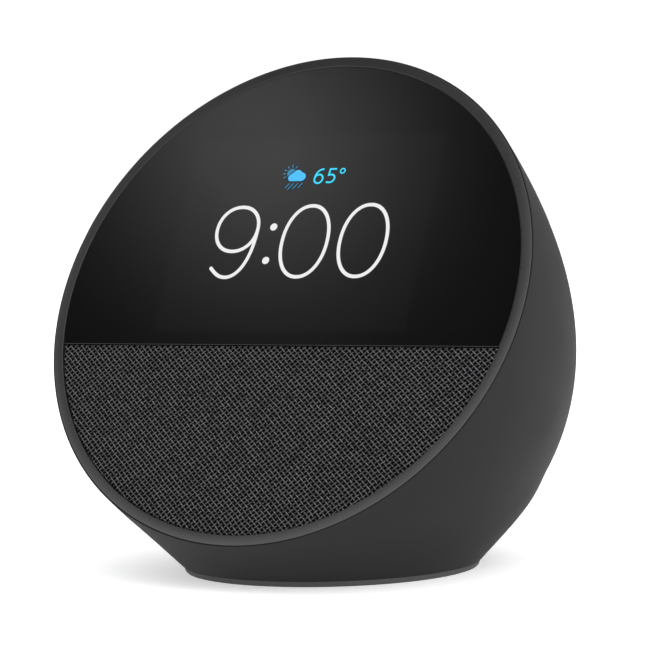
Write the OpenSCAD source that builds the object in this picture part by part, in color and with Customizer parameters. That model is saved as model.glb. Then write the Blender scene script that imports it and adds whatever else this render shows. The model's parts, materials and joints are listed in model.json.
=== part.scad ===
// Compact smart display: a round face leaning back on a rounded dome, with a
// glass-covered screen above and a cloth-covered loudspeaker below.
// Origin: centre of the foot's flat underside. The face looks towards -Y.
// Face coordinates, used inside on_face(): x to the right, y up the slope of
// the face, z out of the face; z = 0 is the plane of the face rim.

/* [Face] */
// Diameter of the round face rim
face_d = 113; // [112:0.5:114]
// Lean of the face backwards from upright, in degrees
face_tilt = 28; // [27.5:0.5:29]
// Height of the face centre above the table
face_h = 59.6; // [59.4:0.1:60.4]
// Distance from the face centre back to the foot centre
foot_back = 17.2; // [16.6:0.1:17.8]
// Height of the line between glass and cloth, from the face centre
chord_v = -11.9; // [-12.2:0.1:-11.8]
// Width of the bezel ring
bezel_w = 2.4; // [2.2:0.1:2.6]
// How far the bezel's inner edge stands in front of its outer edge
bezel_rise = 0.45; // [0.3:0.05:0.6]
// Step between the bezel's outer edge and the housing
bezel_step = 0.3; // [0.2:0.05:0.4]

/* [Housing] */
// Depth of the dome behind the face
dome_depth = 77; // [76:0.5:78]
// Roundness of the dome's section; 2 is an ellipse, more is fuller
fullness = 2.2; // [2.1:0.05:2.3]
// Sag of the dome's axis for each millimetre behind the face
dome_drop = 0.165; // [0.15:0.005:0.18]
// Upward curl of the dome's axis, for each square millimetre
dome_curl = 0.002; // [0.0019:0.00002:0.0021]
// Wall thickness of the housing
wall = 1.8; // [1.6:0.1:2]
// Radius of the foot
foot_r = 32; // [31.5:0.1:32.5]
// Thickness of the rubber foot
foot_t = 1.2; // [1:0.1:1.4]

/* [Screen] */
// Width of the screen's lit area
screen_w = 61; // [58:0.5:61]
// Height of the screen's lit area
screen_l = 45.8; // [43:0.1:45.8]
// Height of the lit area's top edge, from the face centre
screen_top = 37; // [36.8:0.1:37.2]
// Thickness of the front glass
glass_t = 1.2; // [1:0.1:1.2]

/* [Loudspeaker] */
// Height of the loudspeaker's axis, from the face centre
speaker_v = -31.5; // [-31.6:0.1:-31.4]
// Outer radius of the loudspeaker's flange
speaker_r = 21.4; // [21:0.1:21.4]
// Radius of the cone where it meets the surround
cone_r = 14.5; // [14:0.1:14.8]
// Width of the hexagonal holes in the grille
grille_hole = 3.2; // [2.8:0.1:3.4]
// Distance between the grille's holes
grille_pitch = 4.4; // [4.2:0.1:5]

/* [Buttons] */
// Radius of each button cap
button_r = 4.6; // [4.2:0.1:4.7]
// Distance of the buttons behind the face plane
button_s = 14; // [13.5:0.5:15]
// Angle between neighbouring buttons, in degrees around the dome
button_step = 14; // [13.5:0.5:14]
// How far each button cap stands above the dome
button_proud = 0.7; // [0.6:0.1:0.8]

/* [Power inlet] */
// Radius of the recess that takes the plug's body
inlet_r = 5.5; // [5.2:0.1:5.6]
// Depth of that recess
inlet_l = 5; // [4:0.5:6]
// Radius of the socket that takes the plug's barrel
socket_r = 2.1; // [2:0.05:2.2]
// Radius of the centre contact pin
contact_r = 0.8; // [0.7:0.05:0.85]

/* [Hidden] */

$fn = 64;
face_r = face_d / 2;

// Colours
charcoal = "#35363a";
bezel_grey = "#4a4b4e";
black_plastic = "#1b1c1e";
board_green = "#1d5a3a";
steel = "#b4b6ba";
copper = "#b87333";

// Housing
shell_front = -0.6;         // front edge of the housing wall, in face z
blend_h = 9.5;              // below this height the dome runs straight to the foot
floor_t = 2.4;              // thickness of the housing's floor
floor_top = foot_t + floor_t;
inner_r = face_r - wall;
inner_depth = dome_depth - wall;
inner_foot_r = foot_r - wall - 0.6;

// Bezel
bezel_out = face_r - bezel_step;
bezel_in = bezel_out - bezel_w;
skirt_in = bezel_in - 0.05;
skirt_out = inner_r - 0.5;
skirt_end = -2.2;           // rear edge of the bezel's skirt

// Layers behind the face, in face z
glass_front = 0.1;
glass_r = bezel_in - 0.25;
glass_back = glass_front - glass_t;
cloth_front = -0.35;
cloth_t = 0.6;
grille_front = cloth_front - cloth_t - 0.05;
grille_t = 1.2;
frame_front = -2.5;
frame_t = 1.6;
frame_back = frame_front - frame_t;
frame_r = bezel_in - 0.3;
seam_gap = 0.15;            // half of the gap between glass and cloth

// Screen stack
screen_v = screen_top - screen_l / 2;
lcd_border = 1.5;
lcd_w = screen_w + 2 * lcd_border;
lcd_l = screen_l + 2 * lcd_border;
lcd_front = glass_back - 0.05;
lcd_t = 1.2;
tray_w = lcd_w + 1;
tray_l = lcd_l + 1;
tray_t = 2.5;
tray_wall = 0.4;
tray_front = lcd_front - lcd_t - 0.05;
tray_back = tray_front - tray_t;
window_w = tray_w + 1;
window_l = tray_l + 2.6;

// Loudspeaker, in face z along its own axis
collar_r = 18;
collar_wall = 1.2;
collar_end = -6.2;
gasket_t = 0.75;
flange_front = collar_end - gasket_t - 0.1;
flange_t = 1;
basket_floor = flange_front - 7.4;
plate_r = 12.2;
coil_r = 7.6;
coil_wall = 0.3;
coil_gap = 0.45;
top_plate_t = 1.8;
magnet_r = 12.8;
magnet_t = 4.4;
yoke_t = 2;
motor_front = basket_floor - 0.8;
magnet_front = motor_front - top_plate_t - 0.05;
yoke_front = magnet_front - magnet_t - 0.05;
yoke_back = yoke_front - yoke_t;
surround_out = 18.2;
surround_z = flange_front - 0.6;
cone_depth = 4.4;
cone_t = 0.4;

// Loudspeaker chamber
chamber_r = 22.6;
chamber_wall = 1.6;
chamber_front = flange_front - flange_t - 0.05;
chamber_plate_t = 1.2;
chamber_back = -46;
chamber_floor = 5.6;        // height of its flat underside above the table
ear_r = 4;
ear_spots = [[25, -20], [-25, -20], [21, -45.6], [-21, -45.6]];

// Screws, all with a plain cylindrical shank and a pan head
screw_r = 1;
screw_head_r = 2;
screw_head_t = 1.2;
pilot_r = screw_r + 0.06;
clear_r = screw_r + 0.3;
post_r = 2.4;

// Main board
board_front = -9.6;
board_t = 1.6;
board_back = board_front - board_t;
board_r = 44.5;             // outline of the board, around the dome's axis
board_half_w = 40;
board_low = -6;
board_spots = [[36.2, -2], [-36.2, -2], [36.2, 19], [-36.2, 19]];
shield_size = [24, 24, 2.2];
chip_v = 20;                // height of the processor on the board
pad_t = 1;
shield_back = board_back - 0.05 - shield_size[2];
spreader_front = shield_back - pad_t - 0.05;
spreader_t = 1.5;
spreader_back = spreader_front - spreader_t;

// Buttons and the parts under them, in millimetres below the dome's surface
button_angles = [90 + button_step, 90, 90 - button_step];
mic_angles = [90 + 2 * button_step, 90 - 2 * button_step];
bracket_angles = [90 + 3 * button_step, 90 - 3 * button_step];
button_clear = 0.25;
lip_r = button_r + 0.9;
lip_top = -wall - 0.75;
lip_t = 0.7;
stem_r = 1.5;
stem_end = lip_top - lip_t - 1.2;
plunger_r = 1.3;
plunger_l = 1.2;
switch_top = stem_end - 0.9;
switch_size = [5.2, 5.2, 1.7];
key_board_top = switch_top - switch_size[2];
key_board_t = 0.4;
key_board_size = [12, 11.4];
bracket_top = key_board_top - key_board_t - 0.05;
bracket_t = 1.2;
mic_size = [3.8, 2.8, 1.1];
mic_port_r = 0.6;

// Power inlet, in face z along the dome's own axis
inlet_face = -dome_depth + 0.1;
inlet_wall = 1.3;
inlet_v = dome_c(dome_depth);
jack_body = [12, 12, 7];
jack_body_front = inlet_face + inlet_l + jack_body[2];
jack_board_t = 1.2;
jack_board_size = [32, 14];
jack_boss_x = 13;
jack_board_back = jack_body_front + 0.05;

// Base screws, around the foot's centre
base_spots = [[15, -1], [-15, -1], [9, -22], [-9, -22]];
base_head_r = 2.4;

// ---- Shared shapes ------------------------------------------------------

function dome_c(s) = -dome_drop * s + dome_curl * s * s;
function dome_c_slope(s) = -dome_drop + 2 * dome_curl * s;
function dome_r(s, r0, d0) = r0 * pow(1 - pow(s / d0, fullness), 1 / fullness);
function dome_r_slope(s) =
    -face_r / dome_depth * pow(s / dome_depth, fullness - 1)
    * pow(1 - pow(s / dome_depth, fullness), 1 / fullness - 1);

// Moves its children into the face's own coordinates
module on_face()
    translate([0, -foot_back, face_h])
        rotate([90 - face_tilt, 0, 0])
            children();

// Children stand on the dome's outer surface, with z pointing out of it
module on_dome(angle, s = button_s) {
    r = dome_r(s, face_r, dome_depth);
    lean = atan(-(dome_c_slope(s) * sin(angle) + dome_r_slope(s)));
    on_face()
        translate([r * cos(angle), dome_c(s) + r * sin(angle), -s])
            rotate([0, 90 + lean, angle])
                children();
}

// A slab of a flat outline between two face heights
module slab(back, front)
    translate([0, 0, back])
        linear_extrude(front - back)
            children();

// A centred rectangle whose middle is at height v
module plate2d(w, l, v)
    translate([-w / 2, v - l / 2])
        square([w, l]);

// A closed ring or disc turned about the loudspeaker's axis
module speaker_turn(profile)
    on_face()
        translate([0, speaker_v, 0])
            rotate_extrude()
                polygon(profile);

module upper_part(r)
    intersection() {
        circle(r, $fn = 180);
        translate([-r, chord_v + seam_gap])
            square([2 * r, 2 * r]);
    }

module lower_part(r)
    intersection() {
        circle(r, $fn = 180);
        translate([-r, chord_v - seam_gap - 2 * r])
            square([2 * r, 2 * r]);
    }

// The dome as a stack of circles parallel to the face
module dome(r0, d0, sides, rows) {
    rings = [
        for (i = [0:rows - 1])
            let (a = 90 * i / rows, s = d0 * pow(sin(a), 2 / fullness))
                for (j = [0:sides - 1])
                    let (r = r0 * pow(cos(a), 2 / fullness), t = 360 * j / sides)
                        [r * cos(t), dome_c(s) + r * sin(t), -s]
    ];
    tip = [0, dome_c(d0), -d0];
    last = (rows - 1) * sides;
    front = [for (j = [sides - 1:-1:0]) j];
    sides_of = [
        for (i = [0:rows - 2])
            for (j = [0:sides - 1])
                let (k = (j + 1) % sides)
                    [i * sides + j, i * sides + k, (i + 1) * sides + k, (i + 1) * sides + j]
    ];
    cap = [for (j = [0:sides - 1]) [last + j, last + (j + 1) % sides, rows * sides]];
    polyhedron(concat(rings, [tip]), concat([front], sides_of, cap));
}

// The dome run straight down to a round foot
module dome_on_foot(r0, d0, foot, foot_z, sides, rows)
    hull() {
        intersection() {
            on_face()
                dome(r0, d0, sides, rows);
            translate([-face_d, -face_d, blend_h])
                cube(2 * face_d);
        }
        translate([0, 0, foot_z])
            cylinder(r = foot, h = 0.1, $fn = sides);
    }

// A screw with its head on top at z = 0 and its shank pointing to -z
module screw(length, head_r = screw_head_r) {
    translate([0, 0, -length])
        cylinder(r = screw_r, h = length + 0.1);
    difference() {
        cylinder(r = head_r, h = screw_head_t);
        translate([0, 0, screw_head_t - 0.6])
            cylinder(r = 1, h = 1, $fn = 6);
    }
}

// A round tube swept along a list of points
module wire(path, r, sides = 8) {
    n = len(path);
    function way(i) = path[min(i + 1, n - 1)] - path[max(i - 1, 0)];
    function across(d) = cross(d, [0, 1, 0]) / norm(cross(d, [0, 1, 0]));
    rings = [
        for (i = [0:n - 1])
            let (d = way(i) / norm(way(i)), a = across(d), b = cross(d, a))
                for (j = [0:sides - 1])
                    path[i] + r * (cos(360 * j / sides) * a + sin(360 * j / sides) * b)
    ];
    tube = [
        for (i = [0:n - 2])
            for (j = [0:sides - 1])
                let (k = (j + 1) % sides)
                    [i * sides + j, (i + 1) * sides + j, (i + 1) * sides + k, i * sides + k]
    ];
    start = [for (j = [0:sides - 1]) j];
    end = [for (j = [sides - 1:-1:0]) (n - 1) * sides + j];
    polyhedron(rings, concat([start], tube, [end]));
}

// Points along a smooth curve that leaves p0 towards p1 and reaches p3 from p2
function curve(p0, p1, p2, p3, steps = 10) = [
    for (i = [0:steps])
        let (t = i / steps, u = 1 - t)
            u * u * u * p0 + 3 * u * u * t * p1 + 3 * u * t * t * p2 + t * t * t * p3
];

// ---- Housing --------------------------------------------------------------

module rear_shell()
    color(charcoal)
        difference() {
            union() {
                difference() {
                    dome_on_foot(face_r, dome_depth, foot_r, foot_t, 96, 24);
                    intersection() {
                        dome_on_foot(inner_r, inner_depth, inner_foot_r, foot_t, 64, 16);
                        translate([-face_d, -face_d, floor_top])
                            cube(2 * face_d);
                    }
                }
                for (a = bracket_angles)
                    on_dome(a)
                        translate([0, 0, bracket_top + 0.05])
                            cylinder(r = post_r, h = -bracket_top - 1);
                for (x = [-jack_boss_x, jack_boss_x])
                    on_face()
                        translate([x, inlet_v, -inner_depth])
                            cylinder(r = post_r, h = inner_depth + jack_board_back - 0.05);
            }
            on_face()
                slab(shell_front, 20)
                    circle(face_d);
            for (a = button_angles)
                on_dome(a)
                    translate([0, 0, -wall - 4])
                        cylinder(r = button_r + button_clear, h = wall + 8);
            for (a = mic_angles)
                on_dome(a)
                    translate([0, 0, -wall - 2])
                        cylinder(r = mic_port_r, h = wall + 4);
            for (a = bracket_angles)
                on_dome(a)
                    translate([0, 0, bracket_top - 1])
                        cylinder(r = pilot_r, h = 7);
            on_face()
                translate([0, inlet_v, -dome_depth - 2])
                    cylinder(r = inlet_r + inlet_wall + 0.15, h = wall + 6);
            for (x = [-jack_boss_x, jack_boss_x])
                on_face()
                    translate([x, inlet_v, jack_board_back - 8])
                        cylinder(r = pilot_r, h = 10);
            for (p = base_spots)
                translate([p[0], p[1], 0]) {
                    cylinder(r = clear_r, h = 10);
                    cylinder(r = base_head_r + 0.15, h = foot_t + screw_head_t + 0.1);
                }
        }

module front_bezel()
    color(bezel_grey)
        on_face()
            rotate_extrude($fn = 180)
                polygon([
                    [bezel_in, bezel_rise],
                    [bezel_out, 0],
                    [bezel_out, shell_front + 0.1],
                    [skirt_out, shell_front + 0.1],
                    [skirt_out, skirt_end],
                    [skirt_in, skirt_end],
                    [skirt_in, 0]
                ]);

module rubber_foot()
    color(black_plastic)
        rotate_extrude($fn = 128)
            polygon([
                [0, 0],
                [foot_r - 0.7, 0],
                [foot_r - 0.45, 0.25],
                [foot_r - 0.1, foot_t - 0.02],
                [0, foot_t - 0.02]
            ]);

module base_screws()
    color(steel)
        for (p = base_spots)
            translate([p[0], p[1], foot_t + screw_head_t + 0.05])
                rotate([180, 0, 0])
                    screw(4, base_head_r);

// ---- Screen ---------------------------------------------------------------

module display_glass()
    color("#0b0c0e")
        on_face()
            slab(glass_back, glass_front)
                upper_part(glass_r);

module glass_gasket()
    color(black_plastic)
        on_face()
            slab(frame_front + 0.05, glass_back - 0.05)
                difference() {
                    upper_part(glass_r - 0.2);
                    plate2d(tray_w + 0.4, tray_l + 1, screen_v);
                }

module lcd_panel()
    color("#20242c")
        on_face()
            slab(lcd_front - lcd_t, lcd_front)
                plate2d(lcd_w, lcd_l, screen_v);

module backlight_tray()
    color(steel)
        on_face()
            difference() {
                slab(tray_back, tray_front)
                    plate2d(tray_w, tray_l, screen_v);
                slab(tray_back + tray_wall, tray_front + 1)
                    plate2d(tray_w - 2 * tray_wall, tray_l - 2 * tray_wall, screen_v);
            }

module light_guide()
    color("#e8eef2")
        on_face()
            slab(tray_back + tray_wall + 0.05, tray_front - 0.1)
                plate2d(lcd_w - 0.6, lcd_l - 4, screen_v + 1.6);

module led_strip()
    color("#f2efd8")
        on_face()
            slab(tray_back + tray_wall + 0.05, tray_front - 0.3)
                plate2d(lcd_w - 4, 1.4, screen_v - lcd_l / 2 + 1.3);

module front_frame()
    color(black_plastic)
        on_face()
            difference() {
                union() {
                    slab(frame_back, frame_front)
                        circle(frame_r, $fn = 180);
                    translate([0, speaker_v, collar_end])
                        cylinder(r = collar_r + collar_wall, h = frame_back - collar_end + 0.1);
                    for (p = board_spots)
                        translate([p[0], p[1], board_front + 0.05])
                            cylinder(r = post_r, h = frame_back - board_front);
                    for (p = ear_spots)
                        translate([p[0], p[1], chamber_front + 0.05])
                            cylinder(r = post_r, h = frame_back - chamber_front);
                }
                slab(frame_back - 1, frame_front + 1)
                    plate2d(window_w, window_l, screen_v);
                translate([0, speaker_v, collar_end - 1])
                    cylinder(r = collar_r, h = 10);
                for (p = board_spots)
                    translate([p[0], p[1], board_front - 1])
                        cylinder(r = pilot_r, h = frame_front - board_front + 0.4);
                for (p = ear_spots)
                    translate([p[0], p[1], chamber_front - 1])
                        cylinder(r = pilot_r, h = frame_front - chamber_front + 0.4);
            }

module grille_panel() {
    rows = ceil(face_r / grille_pitch / 0.866);
    edge_r = frame_r - 2 - grille_hole / 2;
    color(black_plastic)
        on_face()
            slab(grille_front - grille_t, grille_front)
                difference() {
                    lower_part(frame_r);
                    for (i = [0:rows])
                        for (j = [-rows:rows]) {
                            x = (j + (i % 2) / 2) * grille_pitch;
                            v = chord_v - 3.4 - i * grille_pitch * 0.866;
                            if (norm([x, v]) < edge_r)
                                translate([x, v])
                                    rotate(30)
                                        circle(d = grille_hole, $fn = 6);
                        }
                }
}

module speaker_fabric()
    color("#26272a")
        on_face()
            slab(cloth_front - cloth_t, cloth_front)
                lower_part(glass_r);

// ---- Loudspeaker ----------------------------------------------------------

module speaker_gasket()
    color("#2a2a2a")
        speaker_turn([
            [collar_r, collar_end - 0.05],
            [speaker_r - 0.2, collar_end - 0.05],
            [speaker_r - 0.2, collar_end - 0.05 - gasket_t],
            [collar_r, collar_end - 0.05 - gasket_t]
        ]);

module speaker_basket()
    color("#5a5c60")
        difference() {
            speaker_turn([
                [surround_out + 0.1, flange_front],
                [speaker_r, flange_front],
                [speaker_r, flange_front - flange_t],
                [surround_out + 1.1, flange_front - flange_t],
                [plate_r + 0.6, basket_floor - 0.75],
                [coil_r + coil_gap + 0.4, basket_floor - 0.75],
                [coil_r + coil_gap + 0.4, basket_floor],
                [plate_r + 0.2, basket_floor],
                [surround_out + 0.1, flange_front - flange_t]
            ]);
            on_face()
                for (turn = [0, 90])
                    translate([0, speaker_v, (flange_front + basket_floor) / 2 - 0.2])
                        rotate(turn)
                            cube([12, 60, 4.2], center = true);
        }

module speaker_surround()
    color("#151515")
        speaker_turn([
            [cone_r + 0.05, surround_z],
            [cone_r + 0.9, surround_z + 0.8],
            [surround_out - 1, surround_z + 0.8],
            [surround_out, surround_z],
            [surround_out, surround_z - 0.3],
            [surround_out - 1.2, surround_z + 0.4],
            [cone_r + 1.1, surround_z + 0.4],
            [cone_r + 0.05, surround_z - 0.3]
        ]);

module speaker_cone()
    color("#3c3c3e")
        speaker_turn([
            [cone_r, surround_z],
            [cone_r, surround_z - cone_t],
            [coil_r + 0.6, surround_z - cone_depth - cone_t],
            [coil_r + coil_wall / 2, surround_z - cone_depth - cone_t],
            [coil_r + coil_wall / 2, surround_z - cone_depth],
            [coil_r + 0.4, surround_z - cone_depth]
        ]);

module dust_cap()
    color("#2b2b2d")
        on_face()
            translate([0, speaker_v, surround_z - cone_depth + 0.05])
                rotate_extrude()
                    intersection() {
                        difference() {
                            translate([0, -8])
                                circle(11.2);
                            translate([0, -8])
                                circle(10.8);
                        }
                        square([coil_r, 6]);
                    }

module voice_coil()
    color(copper)
        speaker_turn([
            [coil_r - coil_wall / 2, surround_z - cone_depth],
            [coil_r + coil_wall / 2 - 0.05, surround_z - cone_depth],
            [coil_r + coil_wall / 2 - 0.05, motor_front - top_plate_t - 1],
            [coil_r - coil_wall / 2, motor_front - top_plate_t - 1]
        ]);

module speaker_spider()
    color("#c9a24a")
        speaker_turn([
            [coil_r + 0.3, basket_floor + 0.4],
            [plate_r - 0.6, basket_floor + 0.4],
            [plate_r - 0.6, basket_floor + 0.05],
            [plate_r, basket_floor + 0.05],
            [plate_r, basket_floor + 0.7],
            [coil_r + 0.3, basket_floor + 0.7]
        ]);

module speaker_top_plate()
    color(steel)
        speaker_turn([
            [coil_r + coil_gap, motor_front],
            [plate_r, motor_front],
            [plate_r, motor_front - top_plate_t],
            [coil_r + coil_gap, motor_front - top_plate_t]
        ]);

module speaker_magnet()
    color("#3a3d42")
        speaker_turn([
            [coil_r + coil_gap + 0.9, magnet_front],
            [magnet_r, magnet_front],
            [magnet_r, magnet_front - magnet_t],
            [coil_r + coil_gap + 0.9, magnet_front - magnet_t]
        ]);

module speaker_yoke()
    color(steel)
        speaker_turn([
            [0, motor_front],
            [coil_r - coil_gap, motor_front],
            [coil_r - coil_gap, yoke_front],
            [magnet_r - 0.6, yoke_front],
            [magnet_r - 0.6, yoke_back],
            [0, yoke_back]
        ]);

module speaker_chamber()
    color("#232427")
        difference() {
            union() {
                intersection() {
                    on_face() {
                        translate([0, speaker_v, chamber_back])
                            cylinder(r = chamber_r, h = chamber_front - chamber_back);
                        slab(chamber_front - chamber_plate_t, chamber_front)
                            intersection() {
                                union() {
                                    translate([0, speaker_v])
                                        circle(chamber_r + 1.6);
                                    for (p = ear_spots)
                                        translate(p)
                                            circle(ear_r);
                                }
                                circle(frame_r - 1.8, $fn = 180);
                            }
                    }
                    translate([-face_d, -face_d, chamber_floor])
                        cube(2 * face_d);
                }
                for (p = base_spots)
                    translate([p[0], p[1], floor_top + 0.05])
                        cylinder(r = 2.6, h = chamber_floor - floor_top + 1);
            }
            intersection() {
                on_face()
                    translate([0, speaker_v, chamber_back + chamber_wall])
                        cylinder(r = chamber_r - chamber_wall, h = 60);
                translate([-face_d, -face_d, chamber_floor + chamber_wall])
                    cube(2 * face_d);
            }
            for (p = base_spots)
                translate([p[0], p[1], 0])
                    cylinder(r = pilot_r, h = chamber_floor + chamber_wall - 0.5);
            on_face()
                for (p = ear_spots)
                    translate([p[0], p[1], chamber_front - 5])
                        cylinder(r = clear_r, h = 8);
        }

module chamber_screws()
    color(steel)
        on_face()
            for (p = ear_spots)
                translate([p[0], p[1], chamber_front - chamber_plate_t - 0.05])
                    rotate([180, 0, 0])
                        screw(4.4);

// ---- Electronics ----------------------------------------------------------

module main_board()
    color(board_green)
        on_face()
            slab(board_back, board_front)
                difference() {
                    intersection() {
                        translate([0, dome_c(button_s)])
                            circle(board_r, $fn = 128);
                        translate([-board_half_w, board_low])
                            square([2 * board_half_w, board_r]);
                    }
                    for (p = board_spots)
                        translate(p)
                            circle(clear_r);
                }

module board_chips()
    color("#222222")
        on_face() {
            translate([-27, 18, board_back - 1.05])
                cube([10, 12, 1]);
            translate([17, 19.5, board_back - 1.05])
                cube([9, 9, 1]);
            translate([17, 9, board_back - 1.25])
                cube([7, 7, 1.2]);
            translate([-27, 6, board_back - 1.65])
                cube([6, 6, 1.6]);
        }

module board_connectors()
    color("#e9e4d2")
        on_face() {
            translate([12, -5, board_back - 2.05])
                cube([8, 4, 2]);
            translate([-20, -5, board_back - 2.05])
                cube([8, 4, 2]);
            translate([-8, -5, board_front + 0.05])
                cube([16, 3, 1.6]);
            translate([-5, 38.5, board_back - 1.25])
                cube([10, 3, 1.2]);
        }

module processor_shield()
    color(steel)
        on_face()
            difference() {
                slab(shield_back, board_back - 0.05)
                    plate2d(shield_size[0], shield_size[1], chip_v);
                slab(shield_back + 0.3, board_back)
                    plate2d(shield_size[0] - 0.6, shield_size[1] - 0.6, chip_v);
            }

module thermal_pad()
    color("#7fa8c8")
        on_face()
            slab(spreader_front + 0.02, shield_back - 0.02)
                plate2d(18, 18, chip_v);

module heat_spreader()
    color("#a9acb0")
        on_face()
            difference() {
                union() {
                    slab(spreader_back, spreader_front)
                        plate2d(56, 26, chip_v - 2);
                    for (p = board_spots) {
                        slab(spreader_back, spreader_front)
                            hull() {
                                translate(p)
                                    circle(post_r + 0.4, $fn = 32);
                                translate([p[0] * 0.74, chip_v + (p[1] - chip_v) * 0.5])
                                    circle(3, $fn = 32);
                            }
                        translate([p[0], p[1], spreader_front - 0.1])
                            cylinder(r = post_r, h = board_back - spreader_front + 0.05);
                    }
                }
                for (p = board_spots)
                    translate([p[0], p[1], spreader_back - 1])
                        cylinder(r = clear_r, h = 10);
            }

module board_screws()
    color(steel)
        on_face()
            for (p = board_spots)
                translate([p[0], p[1], spreader_back - 0.05])
                    rotate([180, 0, 0])
                        screw(11);

module antennas()
    color("#2f6b4a")
        on_face()
            for (side = [-1, 1])
                translate([side * 44.5 - 2.5, 2, frame_back - 0.85])
                    cube([5, 18, 0.8]);

module display_flex() {
    low_v = screen_v - tray_l / 2;
    run = 0.2;
    drop_v = low_v - 0.1 - run;
    color("#b8742c")
        on_face()
            translate([-7, 0, 0]) {
                translate([0, drop_v, lcd_front - lcd_t])
                    cube([14, low_v + 0.45 - drop_v, run]);
                translate([0, drop_v, tray_back - 0.6])
                    cube([14, run, lcd_front - lcd_t - tray_back + 0.6 + run]);
                translate([0, drop_v, tray_back - 0.6])
                    cube([14, -4 - drop_v, run]);
                translate([0, -4 - run, board_front + 1.7])
                    cube([14, run, tray_back - 0.6 - board_front - 1.7 + run]);
            }
}

module button_flex() {
    top_v = dome_c(button_s) + dome_r(button_s, face_r, dome_depth) + bracket_top - bracket_t - 0.8;
    color("#b8742c")
        on_face()
            translate([-3, 0, 0]) {
                translate([0, 40.5, board_back - 1.75])
                    cube([6, 0.3, 0.45]);
                translate([0, 40.5, board_back - 1.75])
                    cube([6, top_v - 40.5, 0.2]);
            }
}

module button_board()
    color(board_green)
        for (a = concat(button_angles, mic_angles))
            on_dome(a)
                translate([-key_board_size[0] / 2, -key_board_size[1] / 2, key_board_top - key_board_t])
                    cube([key_board_size[0], key_board_size[1], key_board_t]);

module tact_switches()
    color(steel)
        for (a = button_angles)
            on_dome(a)
                difference() {
                    translate([0, 0, key_board_top + switch_size[2] / 2 + 0.02])
                        cube([switch_size[0], switch_size[1], switch_size[2] - 0.04], center = true);
                    translate([0, 0, switch_top - 1.2])
                        cylinder(r = plunger_r + 0.2, h = 3);
                }

module microphones()
    color("#c8b560")
        for (a = mic_angles)
            on_dome(a)
                translate([0, 0, key_board_top + mic_size[2] / 2 + 0.02])
                    cube(mic_size, center = true);

module button_bracket() {
    ring_r = dome_r(button_s, face_r, dome_depth) + bracket_top - 1.8;
    ring_half = 3 * button_step - 3.2;
    color(black_plastic)
        difference() {
            union() {
                for (a = button_angles)
                    on_dome(a)
                        translate([-5, -5.7, bracket_top - bracket_t])
                            cube([10, 11.4, bracket_t]);
                for (a = bracket_angles)
                    on_dome(a)
                        translate([0, 0, bracket_top - bracket_t])
                            cylinder(r = 3.6, h = bracket_t);
                on_face()
                    translate([0, dome_c(button_s), -button_s - 2])
                        rotate([0, 0, 90 - ring_half])
                            rotate_extrude(angle = 2 * ring_half)
                                translate([ring_r, 0])
                                    square([1.2, 4]);
            }
            for (a = bracket_angles)
                on_dome(a)
                    translate([0, 0, bracket_top - 4])
                        cylinder(r = clear_r, h = 8);
        }
}

module bracket_screws()
    color(steel)
        for (a = bracket_angles)
            on_dome(a)
                translate([0, 0, bracket_top - bracket_t - 0.05])
                    rotate([180, 0, 0])
                        screw(5);

// ---- Buttons --------------------------------------------------------------

// A button cap with its retaining lip and stem; z = 0 is the dome's surface
module button_cap()
    rotate_extrude()
        polygon([
            [0, button_proud],
            [button_r - 0.5, button_proud],
            [button_r - 0.15, button_proud - 0.15],
            [button_r, button_proud - 0.5],
            [button_r, lip_top],
            [lip_r, lip_top],
            [lip_r, lip_top - lip_t],
            [stem_r, lip_top - lip_t],
            [stem_r, stem_end],
            [0, stem_end]
        ]);

// Raised bars of the plus and minus signs
module sign_bar(turn)
    rotate(turn)
        translate([-1.5, -0.25, button_proud - 0.05])
            cube([3, 0.5, 0.2]);

module button_plunger(angle)
    color("#e6e2d6")
        on_dome(angle)
            translate([0, 0, stem_end - plunger_l - 0.02])
                cylinder(r = plunger_r, h = plunger_l);

module volume_down_button()
    color(charcoal)
        on_dome(button_angles[0]) {
            button_cap();
            sign_bar(90);
        }

module mute_button()
    color(charcoal)
        on_dome(button_angles[1]) {
            button_cap();
            translate([0, 0, button_proud - 0.05])
                difference() {
                    cylinder(r = 1.6, h = 0.2);
                    translate([0, 0, -1])
                        cylinder(r = 1.15, h = 2);
                }
        }

module volume_up_button()
    color(charcoal)
        on_dome(button_angles[2]) {
            button_cap();
            sign_bar(0);
            sign_bar(90);
        }

module volume_down_plunger() button_plunger(button_angles[0]);

module mute_plunger() button_plunger(button_angles[1]);

module volume_up_plunger() button_plunger(button_angles[2]);

// ---- Power inlet ----------------------------------------------------------

module jack_housing()
    color(black_plastic)
        on_face()
            translate([0, inlet_v, 0])
                difference() {
                    union() {
                        translate([0, 0, inlet_face])
                            cylinder(r = inlet_r + inlet_wall, h = inlet_l + 1);
                        translate([-jack_body[0] / 2, -jack_body[1] / 2, inlet_face + inlet_l])
                            cube(jack_body);
                    }
                    translate([0, 0, inlet_face - 1])
                        cylinder(r = inlet_r, h = inlet_l + 1);
                    translate([0, 0, inlet_face])
                        cylinder(r = socket_r, h = inlet_l + jack_body[2] - 1);
                }

module jack_pin()
    color("#d8c070")
        on_face()
            translate([0, inlet_v, inlet_face + inlet_l + 0.5])
                cylinder(r = contact_r, h = jack_body[2] - 1.55);

module jack_board()
    color(board_green)
        on_face()
            slab(jack_board_back, jack_board_back + jack_board_t)
                difference() {
                    plate2d(jack_board_size[0], jack_board_size[1], inlet_v);
                    for (x = [-jack_boss_x, jack_boss_x])
                        translate([x, inlet_v])
                            circle(clear_r);
                }

module jack_screws()
    color(steel)
        on_face()
            for (x = [-jack_boss_x, jack_boss_x])
                translate([x, inlet_v, jack_board_back + jack_board_t + 0.05])
                    screw(8);

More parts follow.
